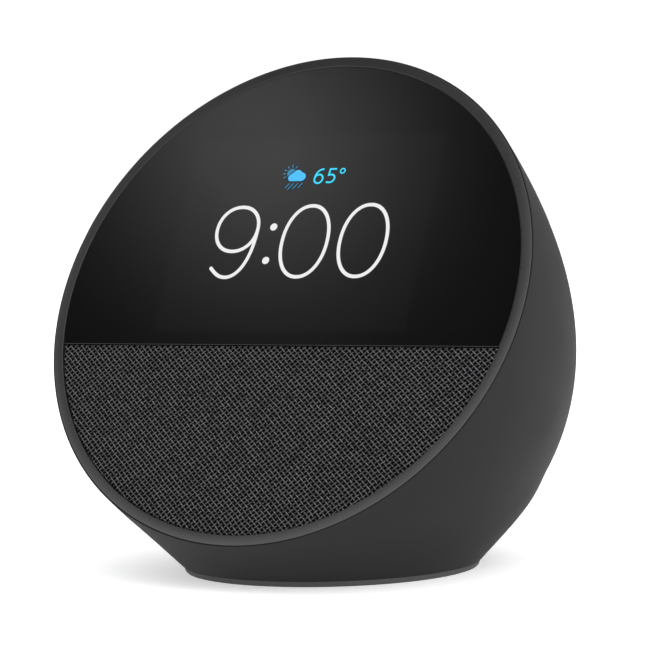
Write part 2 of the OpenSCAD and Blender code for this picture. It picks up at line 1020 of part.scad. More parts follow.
module power_wires() {
    wire_r = 0.6;
    jack_end = jack_board_back + jack_board_t + 0.05;
    board_end = board_back - 2.1;
    color("#8c1f1f")
        on_face()
            for (i = [0, 1]) {
                x0 = 3 + 2 * i;
                x1 = 14.5 + 3 * i;
                wire(
                    curve(
                        [x0, inlet_v, jack_end],
                        [x0, inlet_v, jack_end + 20],
                        [x1, -3, board_end - 20],
                        [x1, -3, board_end],
                        24
                    ),
                    wire_r
                );
            }
}

module speaker_wires() {
    wire_r = 0.5;
    exit_z = -22;
    board_end = board_back - 2.1;
    color("#303236")
        on_face()
            for (x = [-17.5, -14.5]) {
                exit_v = speaker_v + sqrt(chamber_r * chamber_r - x * x) + 0.1 + wire_r;
                wire(
                    curve(
                        [x, exit_v, exit_z],
                        [x, exit_v + 6, exit_z],
                        [x, -3, board_end - 8],
                        [x, -3, board_end],
                        14
                    ),
                    wire_r
                );
            }
}

rear_shell();
front_bezel();
display_glass();
glass_gasket();
lcd_panel();
light_guide();
led_strip();
backlight_tray();
front_frame();
grille_panel();
speaker_fabric();
speaker_gasket();
speaker_basket();
speaker_surround();
speaker_cone();
dust_cap();
voice_coil();
speaker_spider();
speaker_top_plate();
speaker_magnet();
speaker_yoke();
speaker_chamber();
chamber_screws();
main_board();
board_chips();
board_connectors();
processor_shield();
thermal_pad();
heat_spreader();
board_screws();
antennas();
display_flex();
button_flex();
button_board();
tact_switches();
microphones();
button_bracket();
bracket_screws();
volume_down_button();
mute_button();
volume_up_button();
volume_down_plunger();
mute_plunger();
volume_up_plunger();
jack_housing();
jack_pin();
jack_board();
jack_screws();
power_wires();
speaker_wires();
rubber_foot();
base_screws();
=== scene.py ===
"""Looks of the compact smart display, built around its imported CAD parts.

Everything is in metres in the part's own frame. Most pieces are drawn in face
coordinates: x to the right, v up the slope of the face, h out of the face.
"""

import json
import math

import bmesh
import bpy
from mathutils import Matrix, Vector
from mathutils.bvhtree import BVHTree


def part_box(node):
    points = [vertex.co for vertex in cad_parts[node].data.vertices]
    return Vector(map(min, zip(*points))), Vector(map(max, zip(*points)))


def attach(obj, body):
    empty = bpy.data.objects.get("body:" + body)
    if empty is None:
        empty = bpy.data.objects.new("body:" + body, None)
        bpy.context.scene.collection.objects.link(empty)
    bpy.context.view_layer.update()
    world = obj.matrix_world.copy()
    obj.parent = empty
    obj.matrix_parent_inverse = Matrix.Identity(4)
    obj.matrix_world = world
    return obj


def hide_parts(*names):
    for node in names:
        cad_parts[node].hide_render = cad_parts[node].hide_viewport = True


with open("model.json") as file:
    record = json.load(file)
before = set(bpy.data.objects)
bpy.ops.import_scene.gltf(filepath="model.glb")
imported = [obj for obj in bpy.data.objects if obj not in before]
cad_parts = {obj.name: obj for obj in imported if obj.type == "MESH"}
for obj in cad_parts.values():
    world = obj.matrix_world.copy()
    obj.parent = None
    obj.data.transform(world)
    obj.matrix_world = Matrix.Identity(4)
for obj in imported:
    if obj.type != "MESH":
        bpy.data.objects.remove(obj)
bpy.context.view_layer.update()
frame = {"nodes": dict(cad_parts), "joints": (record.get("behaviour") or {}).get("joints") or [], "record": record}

MM = 0.001
RIGHT = Vector((1, 0, 0))

# Shape of the dome, as in the part's source
FULLNESS = 2.2
DOME_DROP = 0.165
DOME_CURL = 0.002 / MM
BLEND_HEIGHT = 9.5 * MM
WALL = 2 * MM
SHELL_EDGE = 0.12 * MM      # the shell's lip lies this far behind the face
LIP = 0.16 * MM             # thickness of that lip, outside the bezel
# The lip from inside to outside: (mm behind its edge, share of LIP inwards)
LIP_PROFILE = ((0.7, 1), (0.04, 1), (0, 0.75), (0.03, 0.3), (0.13, 0))
BEZEL_STEP = 0.3 * MM
BEZEL_WIDTH = 2.1 * MM
GLASS_PROUD = 0.1 * MM
FIT_GAP = 0.1 * MM
BUTTON_GAP = 0.25 * MM
BUTTON_R = 4.6 * MM
SIGN_RISE = 0.15 * MM       # height of the signs on the CAD buttons
COLLAR_R = 6.8 * MM         # round the power inlet
MIC_HOLE_R = 0.6 * MM
INLET_GAP = 0.15 * MM
LCD_BORDER = 1.5 * MM       # unlit edge of the screen
LCD_SOFT = 0.15 * MM        # half the width over which it fades
GLASS_BACK = 0.1 * MM       # the glass front lies this far behind the CAD glass's
GLASS_LOWER = 0.15 * MM     # its straight edge is lower than the CAD glass's
CLOTH_HIGHER = 0.12 * MM    # and the cloth's is higher
BUTTONS = ("volume_down", "mute", "volume_up")

# ---- Places taken from the frame -------------------------------------------


def span(node, way):
    """Lowest and highest reach of a CAD node along a direction."""
    reach = [vertex.co.dot(way) for vertex in frame["nodes"][node].data.vertices]
    return min(reach), max(reach)


def middle(node, way):
    """Half way between those two."""
    low, high = span(node, way)
    return (low + high) / 2


mounts = {mount["name"]: mount for mount in frame["record"]["mounts"]}
NORMAL = -Vector(mounts["power_inlet"]["axis"]).normalized()
UP = NORMAL.cross(RIGHT)
FACE_PLANE = span("display_glass", NORMAL)[1] - GLASS_PROUD
FACE_CENTRE = UP * middle("front_bezel", UP) + NORMAL * FACE_PLANE
BEZEL_R = span("front_bezel", RIGHT)[1]
RIM_R = BEZEL_R + BEZEL_STEP
DOME_DEPTH = FACE_PLANE - span("jack_housing", NORMAL)[0] + FIT_GAP
FOOT_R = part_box("rubber_foot")[1].x + FIT_GAP
FOOT_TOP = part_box("rubber_foot")[1].z
BODY_LOW = FOOT_TOP + 0.02 * MM
INLET_V = middle("jack_pin", UP) - FACE_CENTRE.dot(UP)
BEZEL_IN = BEZEL_R - BEZEL_WIDTH
GLASS_R = BEZEL_IN - 0.12 * MM
FACE_MATRIX = Matrix.Translation(FACE_CENTRE) @ Matrix((RIGHT, UP, NORMAL)).transposed().to_4x4()

face_space = bpy.data.objects.new("face_space", None)
face_space.matrix_world = FACE_MATRIX
bpy.context.scene.collection.objects.link(face_space)
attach(face_space, "housing")


def at(x, v, h):
    """A point given in face coordinates."""
    return FACE_MATRIX @ Vector((x, v, h))


def face_v(node):
    """Lowest and highest v of a CAD node, from the face centre."""
    low, high = span(node, UP)
    origin = FACE_CENTRE.dot(UP)
    return low - origin, high - origin


def face_h(node):
    """Lowest and highest h of a CAD node, from the face plane."""
    low, high = span(node, NORMAL)
    return low - FACE_PLANE, high - FACE_PLANE


def dome_middle(s):
    """How far v of the dome's centre line is from the face centre, s behind the face."""
    return -DOME_DROP * s + DOME_CURL * s * s


def dome_point(angle, s):
    """A point on the dome, at an angle round the face and s behind it."""
    radius = RIM_R * (1 - (s / DOME_DEPTH) ** FULLNESS) ** (1 / FULLNESS)
    return at(radius * math.cos(angle), dome_middle(s) + radius * math.sin(angle), -s)


# ---- Making pieces ----------------------------------------------------------


def link_piece(name, mesh, body, replaced=(), sharp=35):
    """Adds a mesh as a smooth-shaded piece that rides on a body."""
    piece = bpy.data.objects.new(name, mesh)
    bpy.context.scene.collection.objects.link(piece)
    mesh.shade_smooth()
    mesh.set_sharp_from_angle(angle=math.radians(sharp))
    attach(piece, body)
    if replaced:
        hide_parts(*replaced)
    return piece


def mesh_from(bm, name, matrix=None):
    """Turns a bmesh into a mesh, moved by a matrix, and frees it."""
    bmesh.ops.recalc_face_normals(bm, faces=bm.faces)
    mesh = bpy.data.meshes.new(name)
    bm.to_mesh(mesh)
    bm.free()
    if matrix is not None:
        mesh.transform(matrix)
    return mesh


def eased(corners, steps=5):
    """A closed outline with its corners rounded. Each corner is (a, b, radius)."""
    outline = []
    count = len(corners)
    for i, (a, b, radius) in enumerate(corners):
        corner = Vector((a, b))
        if not radius:
            outline.append(corner)
            continue
        before = Vector(corners[i - 1][:2]) - corner
        after = Vector(corners[(i + 1) % count][:2]) - corner
        start = corner + before.normalized() * radius
        end = corner + after.normalized() * radius
        for k in range(steps + 1):
            t = k / steps
            outline.append(start * (1 - t) ** 2 + corner * 2 * t * (1 - t) + end * t * t)
    return outline


def turned(outline, steps, bm=None):
    """A closed ring or solid made by turning an (r, z) outline about z."""
    bm = bm or bmesh.new()
    rings = []
    for point in outline:
        if point.x < 1e-7:
            rings.append([bm.verts.new((0, 0, point.y))] * steps)
        else:
            turns = [2 * math.pi * k / steps for k in range(steps)]
            rings.append([
                bm.verts.new((point.x * math.cos(t), point.x * math.sin(t), point.y))
                for t in turns
            ])
    for near, far in zip(rings, rings[1:] + rings[:1]):
        for k in range(steps):
            corners = [near[k], near[(k + 1) % steps], far[(k + 1) % steps], far[k]]
            kept = list(dict.fromkeys(corners))
            if len(kept) > 2:
                bm.faces.new(kept)
    return bm


def bridge(bm, near, far):
    """Joins two rings of the same number of vertices."""
    count = len(near)
    for k in range(count):
        bm.faces.new([near[k], near[(k + 1) % count], far[(k + 1) % count], far[k]])


def fan(bm, ring, centre):
    """Closes a ring with triangles to its centre."""
    hub = bm.verts.new(centre)
    for k in range(len(ring)):
        bm.faces.new([ring[k], ring[(k + 1) % len(ring)], hub])


# ---- Materials --------------------------------------------------------------


class Graph:
    """A node tree, with short ways to add and join nodes."""

    def __init__(self, tree):
        self.tree = tree
        self.tree.nodes.clear()

    def add(self, kind, **settings):
        node = self.tree.nodes.new(kind)
        for key, value in settings.items():
            setattr(node, key, value)
        return node

    def join(self, value, socket):
        if isinstance(value, bpy.types.NodeSocket):
            self.tree.links.new(value, socket)
        else:
            socket.default_value = value

    def math(self, operation, *values, clamp=False):
        node = self.add("ShaderNodeMath", operation=operation, use_clamp=clamp)
        for value, socket in zip(values, node.inputs):
            self.join(value, socket)
        return node.outputs[0]

    def dot(self, vector, way):
        node = self.add("ShaderNodeVectorMath", operation="DOT_PRODUCT")
        self.join(vector, node.inputs[0])
        node.inputs[1].default_value = way
        return node.outputs["Value"]

    def ramp(self, value, low, high, start=0.0, end=1.0):
        """Maps low..high onto start..end with soft ends."""
        node = self.add("ShaderNodeMapRange", interpolation_type="SMOOTHSTEP")
        self.join(value, node.inputs["Value"])
        for key, number in zip(("From Min", "From Max", "To Min", "To Max"), (low, high, start, end)):
            node.inputs[key].default_value = number
        return node.outputs[0]


class Shader(Graph):
    """A node material for one surface."""

    def __init__(self, name, space=None):
        self.material = bpy.data.materials.new(name)
        self.material.use_nodes = True
        super().__init__(self.material.node_tree)
        output = self.add("ShaderNodeOutputMaterial")
        self.surface = self.add("ShaderNodeBsdfPrincipled")
        self.join(self.surface.outputs[0], output.inputs["Surface"])
        place = self.add("ShaderNodeTexCoord", object=space)
        self.place = place.outputs["Object"]

    def axes(self):
        node = self.add("ShaderNodeSeparateXYZ")
        self.join(self.place, node.inputs[0])
        return node.outputs

    def noise(self, size, detail=2.0, rough=0.5):
        node = self.add("ShaderNodeTexNoise")
        self.join(self.place, node.inputs["Vector"])
        node.inputs["Scale"].default_value = 1 / size
        node.inputs["Detail"].default_value = detail
        node.inputs["Roughness"].default_value = rough
        return node.outputs["Fac"]

    def tones(self, value, dark, light):
        node = self.add("ShaderNodeMix", data_type="RGBA")
        self.join(value, node.inputs[0])
        node.inputs[6].default_value = (*dark, 1)
        node.inputs[7].default_value = (*light, 1)
        return node.outputs[2]

    def bump(self, height, depth, strength=1.0):
        node = self.add("ShaderNodeBump")
        node.inputs["Strength"].default_value = strength
        node.inputs["Distance"].default_value = depth
        self.join(height, node.inputs["Height"])
        self.join(node.outputs[0], self.surface.inputs["Normal"])

    def set(self, **values):
        names = {"color": "Base Color", "rough": "Roughness", "metal": "Metallic", "ior": "IOR",
                 "coat": "Coat Weight", "coat_rough": "Coat Roughness", "specular": "Specular IOR Level",
                 "glow": "Emission Strength", "glow_color": "Emission Color"}
        for key, value in values.items():
            self.join(value, self.surface.inputs[names[key]])


def shade(color, share):
    """A color made lighter or darker."""
    return tuple(min(1.0, channel * share) for channel in color[:3])


def grained(name, color, rough, grain, depth, spread=0.15, **extra):
    """A moulded, cast or stamped surface: fine grain, faint clouding and uneven gloss."""
    shader = Shader(name)
    fine = shader.noise(grain, detail=3)
    broad = shader.noise(grain * 60, detail=2)
    mixed = shader.math("ADD", shader.math("MULTIPLY", fine, 0.6), shader.math("MULTIPLY", broad, 0.4))
    tone = shader.ramp(mixed, 0.35, 0.65)
    color_out = shader.tones(tone, shade(color, 1 - spread), shade(color, 1 + spread))
    shader.set(color=color_out, rough=shader.ramp(broad, 0.3, 0.7, rough - 0.04, rough + 0.04), **extra)
    shader.bump(fine, depth)
    return shader.material


# ---- Camera, floor and light ------------------------------------------------

CAMERA_AZIMUTH = math.radians(30.14)
CAMERA_ELEVATION = math.radians(2.85)
CAMERA_ROLL = math.radians(-1.51)
CAMERA_DISTANCE = 10.43     # in rim radii, from the face centre
CAMERA_ASIDE = 0.1426       # how far the aim lies to the right of the face centre, in rim radii
CAMERA_BELOW = 0.1084       # how far it lies below the face centre
LENS = 157.45


def add_camera():
    """The photograph's camera. Returns where it stands."""
    toward = Vector((
        math.sin(CAMERA_AZIMUTH) * math.cos(CAMERA_ELEVATION),
        -math.cos(CAMERA_AZIMUTH) * math.cos(CAMERA_ELEVATION),
        math.sin(CAMERA_ELEVATION),
    ))
    level = Vector((math.cos(CAMERA_AZIMUTH), math.sin(CAMERA_AZIMUTH), 0))
    upright = toward.cross(level)
    roll = Matrix.Rotation(CAMERA_ROLL, 3, toward)
    across, above = roll @ level, roll @ upright
    data = bpy.data.cameras.new("camera")
    data.lens = LENS
    data.sensor_width = 36
    data.clip_start = 0.01
    camera = bpy.data.objects.new("camera", data)
    place = FACE_CENTRE + RIM_R * (
        CAMERA_DISTANCE * toward + CAMERA_ASIDE * across - CAMERA_BELOW * above
    )
    turn = Matrix((across, above, toward)).transposed().to_4x4()
    camera.matrix_world = Matrix.Translation(place) @ turn
    bpy.context.scene.collection.objects.link(camera)
    bpy.context.scene.camera = camera
    return place


FLOOR_REACH = 4             # metres each way from the middle
FLOOR_GLOW = 0.4            # keeps the paper white close round the foot


def add_floor():
    """White paper that gives off a little light of its own."""
    bm = bmesh.new()
    bmesh.ops.create_grid(bm, x_segments=24, y_segments=24, size=FLOOR_REACH)
    floor = bpy.data.objects.new("floor", mesh_from(bm, "floor"))
    bpy.context.scene.collection.objects.link(floor)
    shader = Shader("floor_paper")
    shader.set(
        color=shader.tones(shader.noise(0.3), (0.86, 0.86, 0.86), (0.9, 0.9, 0.9)),
        rough=0.9,
        specular=0.1,
        glow_color=(1, 1, 1, 1),
        glow=FLOOR_GLOW,
    )
    floor.data.materials.append(shader.material)


GLOW_SEEN = (-14 * MM, 36 * MM)     # where the glass mirrors the middle of the glow
GLOW_SPREAD = math.radians(1.97)
GLOW_PEAK = 0.88
SHADE_LEVEL = 0.04          # how bright the shaded patch stays
SHADE_SHIFT = 0.14          # how far its middle lies past the glow, up and to the left
SHADE_WAY = UP * 0.87 - RIGHT * 0.5
SHADE_FULL = math.cos(math.radians(14.5))
SHADE_END = math.cos(math.radians(23))
SKY_DIM = 0.72
KEYS = (                    # (way, gain) of the soft lights on the right and on the left
    (Vector((0.85, -0.42, 0.33)), 1.05),
    (Vector((-0.90, -0.35, 0.20)), 0.45),
)
KEY_END = 0.1               # cosine of the angle from its middle at which a key has faded out
BACKDROP = 1.06
BACKDROP_FULL = math.cos(math.radians(12))
BACKDROP_END = math.cos(math.radians(24))
TOP_LIGHT_SPREAD = math.radians(110)
TOP_LIGHT_TILT = (math.radians(8), math.radians(12), 0)


def add_sky(eye):
    """A pale studio with a soft key on each side and a white backdrop.

    The glass mirrors a shaded patch of it, with one soft glow in that. Both are placed for
    the camera's eye, so from other angles the glass mirrors the plain studio.
    """
    point = at(*GLOW_SEEN, 0)
    view = (point - eye).normalized()
    mirrored = view - 2 * view.dot(NORMAL) * NORMAL
    shade_way = (mirrored + SHADE_SHIFT * SHADE_WAY).normalized()
    world = bpy.data.worlds.new("studio")
    bpy.context.scene.world = world
    world.use_nodes = True
    sky = Graph(world.node_tree)
    way = sky.add("ShaderNodeTexCoord").outputs["Generated"]
    fall = sky.math("DIVIDE", sky.math("SUBTRACT", sky.dot(way, mirrored), 1.0), GLOW_SPREAD ** 2)
    glow = sky.math("MULTIPLY", sky.math("EXPONENT", fall), GLOW_PEAK)
    shaded = sky.ramp(sky.dot(way, shade_way), SHADE_END, SHADE_FULL, 1.0, SHADE_LEVEL)
    level = SKY_DIM
    for key_way, gain in KEYS:
        key = sky.ramp(sky.dot(way, key_way.normalized()), KEY_END, 1.0, 0.0, gain)
        level = sky.math("ADD", key, level)
    behind = sky.ramp(sky.dot(way, view), BACKDROP_END, BACKDROP_FULL, 0.0, BACKDROP)
    lit = sky.math("MULTIPLY", sky.math("MAXIMUM", level, behind), shaded)
    background = sky.add("ShaderNodeBackground")
    background.inputs["Color"].default_value = (1, 1, 1, 1)
    sky.join(sky.math("ADD", lit, glow), background.inputs["Strength"])
    output = sky.add("ShaderNodeOutputWorld")
    sky.join(background.outputs[0], output.inputs["Surface"])


def add_top_light():
    """One broad soft light from above."""
    data = bpy.data.lights.new("top_light", "SUN")
    data.energy = 1.0
    data.angle = TOP_LIGHT_SPREAD
    light = bpy.data.objects.new("top_light", data)
    light.rotation_euler = TOP_LIGHT_TILT
    light.visible_glossy = False
    bpy.context.scene.collection.objects.link(light)


def add_studio():
    """Camera, floor and lights."""
    eye = add_camera()
    add_floor()
    add_sky(eye)
    add_top_light()
    bpy.context.scene.view_settings.view_transform = "Standard"


# ---- Housing ----------------------------------------------------------------

SIDES = 288
ROWS = 120
CORE_SHARE = 0.35           # of the dome's depth
CORE = FACE_CENTRE - NORMAL * DOME_DEPTH * CORE_SHARE   # a point inside, from which the body is traced
SWELL_LOW = 0.5 * MM        # between these heights the body is fuller than a straight run to the foot
SWELL_HIGH = 20 * MM
SWELL_MEAN = 0.4 * MM
SWELL_SIDE = 0.7 * MM       # more than that at the back, and less at the front
SWELL_TURN = 2              # how soon it changes from front to back
SWELL_ROUND = 1.5
DRILL_OUT = 3 * MM          # reach of the cutters for the holes, outside the dome
DRILL_IN = 6 * MM
MIC_DRILL_IN = 4 * MM


def foot_point(angle):
    """A point on the body's lowest edge."""
    return Vector((FOOT_R * math.cos(angle), FOOT_R * math.sin(angle), BODY_LOW))


def hull_tree(sides=360, rows=110):
    """The dome run straight down to its foot, as a search tree."""
    bm = bmesh.new()
    for i in range(rows):
        s = DOME_DEPTH * math.sin(math.pi / 2 * i / rows) ** (2 / FULLNESS)
        for j in range(sides):
            point = dome_point(2 * math.pi * j / sides, s)
            if point.z > BLEND_HEIGHT:
                bm.verts.new(point)
    bm.verts.new(dome_point(0, DOME_DEPTH))
    for j in range(sides):
        bm.verts.new(foot_point(2 * math.pi * j / sides))
    bmesh.ops.convex_hull(bm, input=bm.verts)
    tree = BVHTree.FromBMesh(bm)
    bm.free()
    return tree


def edge_ring(tree, s, inset):
    """The body's outline in the plane s behind the face, moved in by inset."""
    ring = []
    for j in range(SIDES):
        angle = 2 * math.pi * j / SIDES
        hub = at(0, dome_middle(s), -s)
        out = (RIGHT * math.cos(angle) + UP * math.sin(angle)).normalized()
        hit = tree.ray_cast(hub, out)[0]
        ring.append(hit - out * inset)
    return ring


def swell(point):
    """Fills out the low back of the body and slims its low front."""
    rise = (point.z - SWELL_LOW) / (SWELL_HIGH - SWELL_LOW)
    if not 0 < rise < 1:
        return point
    flat = Vector((point.x, point.y, 0)).normalized()
    side = max(-1.0, min(1.0, SWELL_TURN * flat.y))
    return point + flat * (SWELL_MEAN + SWELL_SIDE * side) * math.sin(math.pi * rise) ** SWELL_ROUND


def outer_rings(tree):
    """Rings of points on the body's surface, from the groove behind the bezel to the foot."""
    rings = [
        edge_ring(tree, SHELL_EDGE + back * MM, LIP * share)
        for back, share in LIP_PROFILE
    ]
    foot = [foot_point(2 * math.pi * j / SIDES) for j in range(SIDES)]
    starts = [(point - CORE).normalized() for point in rings[-1]]
    ends = [(point - CORE).normalized() for point in foot]
    for i in range(1, ROWS):
        rings.append([
            swell(tree.ray_cast(CORE, start.slerp(end, i / ROWS))[0])
            for start, end in zip(starts, ends)
        ])
    return rings + [foot]


def cut(piece, cutter):
    """Takes one closed mesh out of another and applies the result."""
    tool = bpy.data.objects.new("tool", cutter)
    bpy.context.scene.collection.objects.link(tool)
    modifier = piece.modifiers.new("cut", "BOOLEAN")
    modifier.operation = "DIFFERENCE"
    modifier.solver = "EXACT"
    modifier.object = tool
    graph = bpy.context.evaluated_depsgraph_get()
    carved = bpy.data.meshes.new_from_object(piece.evaluated_get(graph))
    piece.modifiers.clear()
    piece.data = carved
    bpy.data.objects.remove(tool)


def rod(radius, low, high, matrix, bm):
    """A straight closed cylinder along a matrix's z."""
    part = turned([Vector(p) for p in ((0, low), (radius, low), (radius, high), (0, high))], 72)
    part.transform(matrix)
    scratch = bpy.data.meshes.new("scratch")
    part.to_mesh(scratch)
    part.free()
    bm.from_mesh(scratch)
    bpy.data.meshes.remove(scratch)


def standing(place, axis):
    """A matrix whose z is the axis and whose origin is the place."""
    side = axis.cross(RIGHT).normalized()
    return Matrix.Translation(place) @ Matrix((side.cross(axis), side, axis)).transposed().to_4x4()


def press_joint(body):
    """The joint that moves a key."""
    return next(joint for joint in frame["joints"] if joint["child"] == body)


def button_matrix(body):
    """Where a button stands: z points out of the dome, z = 0 is the top of its cap."""
    axis = -Vector(press_joint(body)["axis"]).normalized()
    node = body + "_button"
    side = axis.cross(RIGHT).normalized()
    across = side.cross(axis)
    top = span(node, axis)[1] - SIGN_RISE
    place = across * middle(node, across) + side * middle(node, side) + axis * top
    return standing(place, axis)


def mic_places():
    """Points on the dome above the two microphones, with the way out of the dome."""
    found = []
    for side in (-1, 1):
        corners = [v.co for v in frame["nodes"]["microphones"].data.vertices if v.co.x * side > 0]
        centre = sum(corners, Vector()) / len(corners)
        s = FACE_PLANE - centre.dot(NORMAL)
        flat = centre - at(0, dome_middle(s), -s)
        angle = math.atan2(flat.dot(UP), flat.dot(RIGHT))
        step = 0.01 * MM
        back = dome_point(angle, s + step) - dome_point(angle, s - step)
        along = dome_point(angle + step, s) - dome_point(angle - step, s)
        out = along.cross(back).normalized()
        out = out if out.dot(flat) > 0 else -out
        surface = centre + out * (dome_point(angle, s) - centre).dot(out)
        found.append((surface, out))
    return found


def housing_holes():
    """Cutters for the keys, the two microphones and the power inlet."""
    bm = bmesh.new()
    for body in BUTTONS:
        rod(BUTTON_R + BUTTON_GAP, -DRILL_IN, DRILL_OUT, button_matrix(body), bm)
    for place, out in mic_places():
        rod(MIC_HOLE_R, -MIC_DRILL_IN, DRILL_OUT, standing(place, out), bm)
    inlet = standing(at(0, INLET_V, -DOME_DEPTH), -NORMAL)
    rod(COLLAR_R + INLET_GAP, -DRILL_IN, DRILL_OUT, inlet, bm)
    return mesh_from(bm, "holes")


def housing_material():
    """Dull moulded plastic with a very fine grain."""
    shader = Shader("moulded_charcoal")
    fine = shader.noise(0.22 * MM, detail=3, rough=0.6)
    broad = shader.noise(18 * MM, detail=2)
    mixed = shader.math("ADD", shader.math("MULTIPLY", fine, 0.75), shader.math("MULTIPLY", broad, 0.25))
    tone = shader.ramp(mixed, 0.35, 0.65)
    shader.set(
        color=shader.tones(tone, (0.0133, 0.0134, 0.0139), (0.0178, 0.018, 0.0187)),
        rough=shader.ramp(broad, 0.3, 0.7, 0.62, 0.68),
        specular=0.12,
    )
    shader.bump(fine, 0.03 * MM, 0.6)
    return shader.material


def add_housing():
    """The one-piece body: an outer skin and a lining that starts behind the lip."""
    outer = outer_rings(hull_tree())
    bm = bmesh.new()
    skins = [[bm.verts.new(point) for point in ring] for ring in outer]
    lining = []
    for ring in outer[len(LIP_PROFILE) - 1:]:
        lining.append([
            bm.verts.new(point - (point - CORE).normalized() * WALL) for point in ring
        ])
    for near, far in zip(skins, skins[1:]):
        bridge(bm, near, far)
    for near, far in zip(lining, lining[1:]):
        bridge(bm, far, near)
    bridge(bm, lining[0], skins[0])
    fan(bm, skins[-1], (0, 0, BODY_LOW))
    fan(bm, lining[-1], (0, 0, FOOT_TOP + WALL))
    mesh = mesh_from(bm, "housing_shell")
    shell = link_piece("housing_shell", mesh, "housing", ["rear_shell"])
    cut(shell, housing_holes())
    shell.data.shade_smooth()
    shell.data.set_sharp_from_angle(angle=math.radians(32))
    shell.data.materials.clear()
    shell.data.materials.append(housing_material())


def add_bezel():
    """The sloping ring round the face, with a collar behind its inner edge."""
    back, collar_back = -0.6 * MM, -2.2 * MM
    collar_in, collar_out = BEZEL_IN - 0.05 * MM, BEZEL_IN + 0.4 * MM
    outline = eased([
        (BEZEL_IN, 0.03 * MM, 0.05 * MM),
        (BEZEL_R, -0.1 * MM, 0.1 * MM),
        (BEZEL_R, back, 0.05 * MM),
        (collar_out, back, 0),
        (collar_out, collar_back, 0.1 * MM),
        (collar_in, collar_back, 0.1 * MM),
        (collar_in, -0.1 * MM, 0),
    ])
    mesh = mesh_from(turned(outline, 320), "bezel_ring", FACE_MATRIX)
    ring = link_piece("bezel_ring", mesh, "housing", ["front_bezel"])
    shader = Shader("satin_charcoal")
    fine = shader.noise(0.15 * MM, detail=2)
    broad = shader.noise(25 * MM)
    tone = shader.ramp(fine, 0.3, 0.7)
    shader.set(
        color=shader.tones(tone, (0.009, 0.0091, 0.0094), (0.0122, 0.0123, 0.0128)),
        rough=shader.ramp(broad, 0.3, 0.7, 0.26, 0.3),
        specular=1.0,
    )
    shader.bump(fine, 0.012 * MM, 0.5)
    ring.data.materials.append(shader.material)


def segment(radius, low, high, ease, steps=240):
    """Outline of the part of a disc above v = low, or else below v = high, with its two corners rounded."""
    if low is not None:
        turn = math.asin(low / radius)
        sweep = math.pi - 2 * turn
    else:
        turn = math.pi - math.asin(high / radius)
        sweep = math.pi + 2 * math.asin(high / radius)
    arc = [turn + sweep * k / steps for k in range(steps + 1)]
    corners = [(radius * math.cos(a), radius * math.sin(a), 0) for a in arc]
    corners[0] = (*corners[0][:2], ease)
    corners[-1] = (*corners[-1][:2], ease)
    corners[1:2] = []
    corners[-2:-1] = []
    return eased(corners)


def plate(outline, low, high, ease):
    """A flat plate with a softly rounded front edge, in face coordinates."""
    bm = bmesh.new()
    face = bm.faces.new([bm.verts.new((p.x, p.y, low)) for p in outline])
    grown = bmesh.ops.extrude_face_region(bm, geom=[face])
    front = [item for item in grown["geom"] if isinstance(item, bmesh.types.BMVert)]
    bmesh.ops.translate(bm, verts=front, vec=(0, 0, high - low))
    edges = [e for e in bm.edges if all(abs(v.co.z - high) < 1e-7 for v in e.verts)]
    bmesh.ops.bevel(bm, geom=edges, offset=ease, segments=3, profile=0.5, affect="EDGES")
    flat = [f for f in bm.faces if all(abs(v.co.z - high) < 1e-7 for v in f.verts)]
    bmesh.ops.inset_region(bm, faces=flat, thickness=ease / 2)
    return bm


def glass_material():
    """Dark glass, very slightly lighter over the lit area of the screen."""
    shader = Shader("dark_cover_glass", face_space)
    x, v, _ = shader.axes()
    half_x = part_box("lcd_panel")[1].x - LCD_BORDER
    low_v, high_v = face_v("lcd_panel")
    low_v, high_v = low_v + LCD_BORDER, high_v - LCD_BORDER
    inside_x = shader.ramp(shader.math("ABSOLUTE", x), half_x - LCD_SOFT, half_x + LCD_SOFT, 1, 0)
    above = shader.ramp(v, low_v - LCD_SOFT, low_v + LCD_SOFT)
    below = shader.ramp(v, high_v - LCD_SOFT, high_v + LCD_SOFT, 1, 0)
    inside = shader.math("MULTIPLY", inside_x, shader.math("MULTIPLY", above, below))
    haze = shader.noise(30 * MM)
    shader.set(
        color=shader.tones(inside, (0.0014, 0.0014, 0.0016), (0.0027, 0.0028, 0.003)),
        rough=shader.ramp(haze, 0.3, 0.7, 0.06, 0.09),
        ior=1.5,
        coat=0.3,
        coat_rough=0.03,
    )
    return shader.material


def add_glass():
    """The cover glass, above its straight lower edge."""
    low, high = face_h("display_glass")
    chord = face_v("display_glass")[0] - GLASS_LOWER
    outline = segment(GLASS_R, chord, None, 0.4 * MM)
    glass_plate = plate(outline, low, high - GLASS_BACK, 0.08 * MM)
    mesh = mesh_from(glass_plate, "cover_glass", FACE_MATRIX)
    glass = link_piece("cover_glass", mesh, "housing", ["display_glass"])
    glass.data.materials.append(glass_material())


# ---- Cloth ------------------------------------------------------------------

WEAVE_X = 700               # threads of each family, a metre across the face
WEAVE_V = 810               # and a metre up it
THREAD_HALF = 0.30          # half the width of a thread, as a share of the spacing


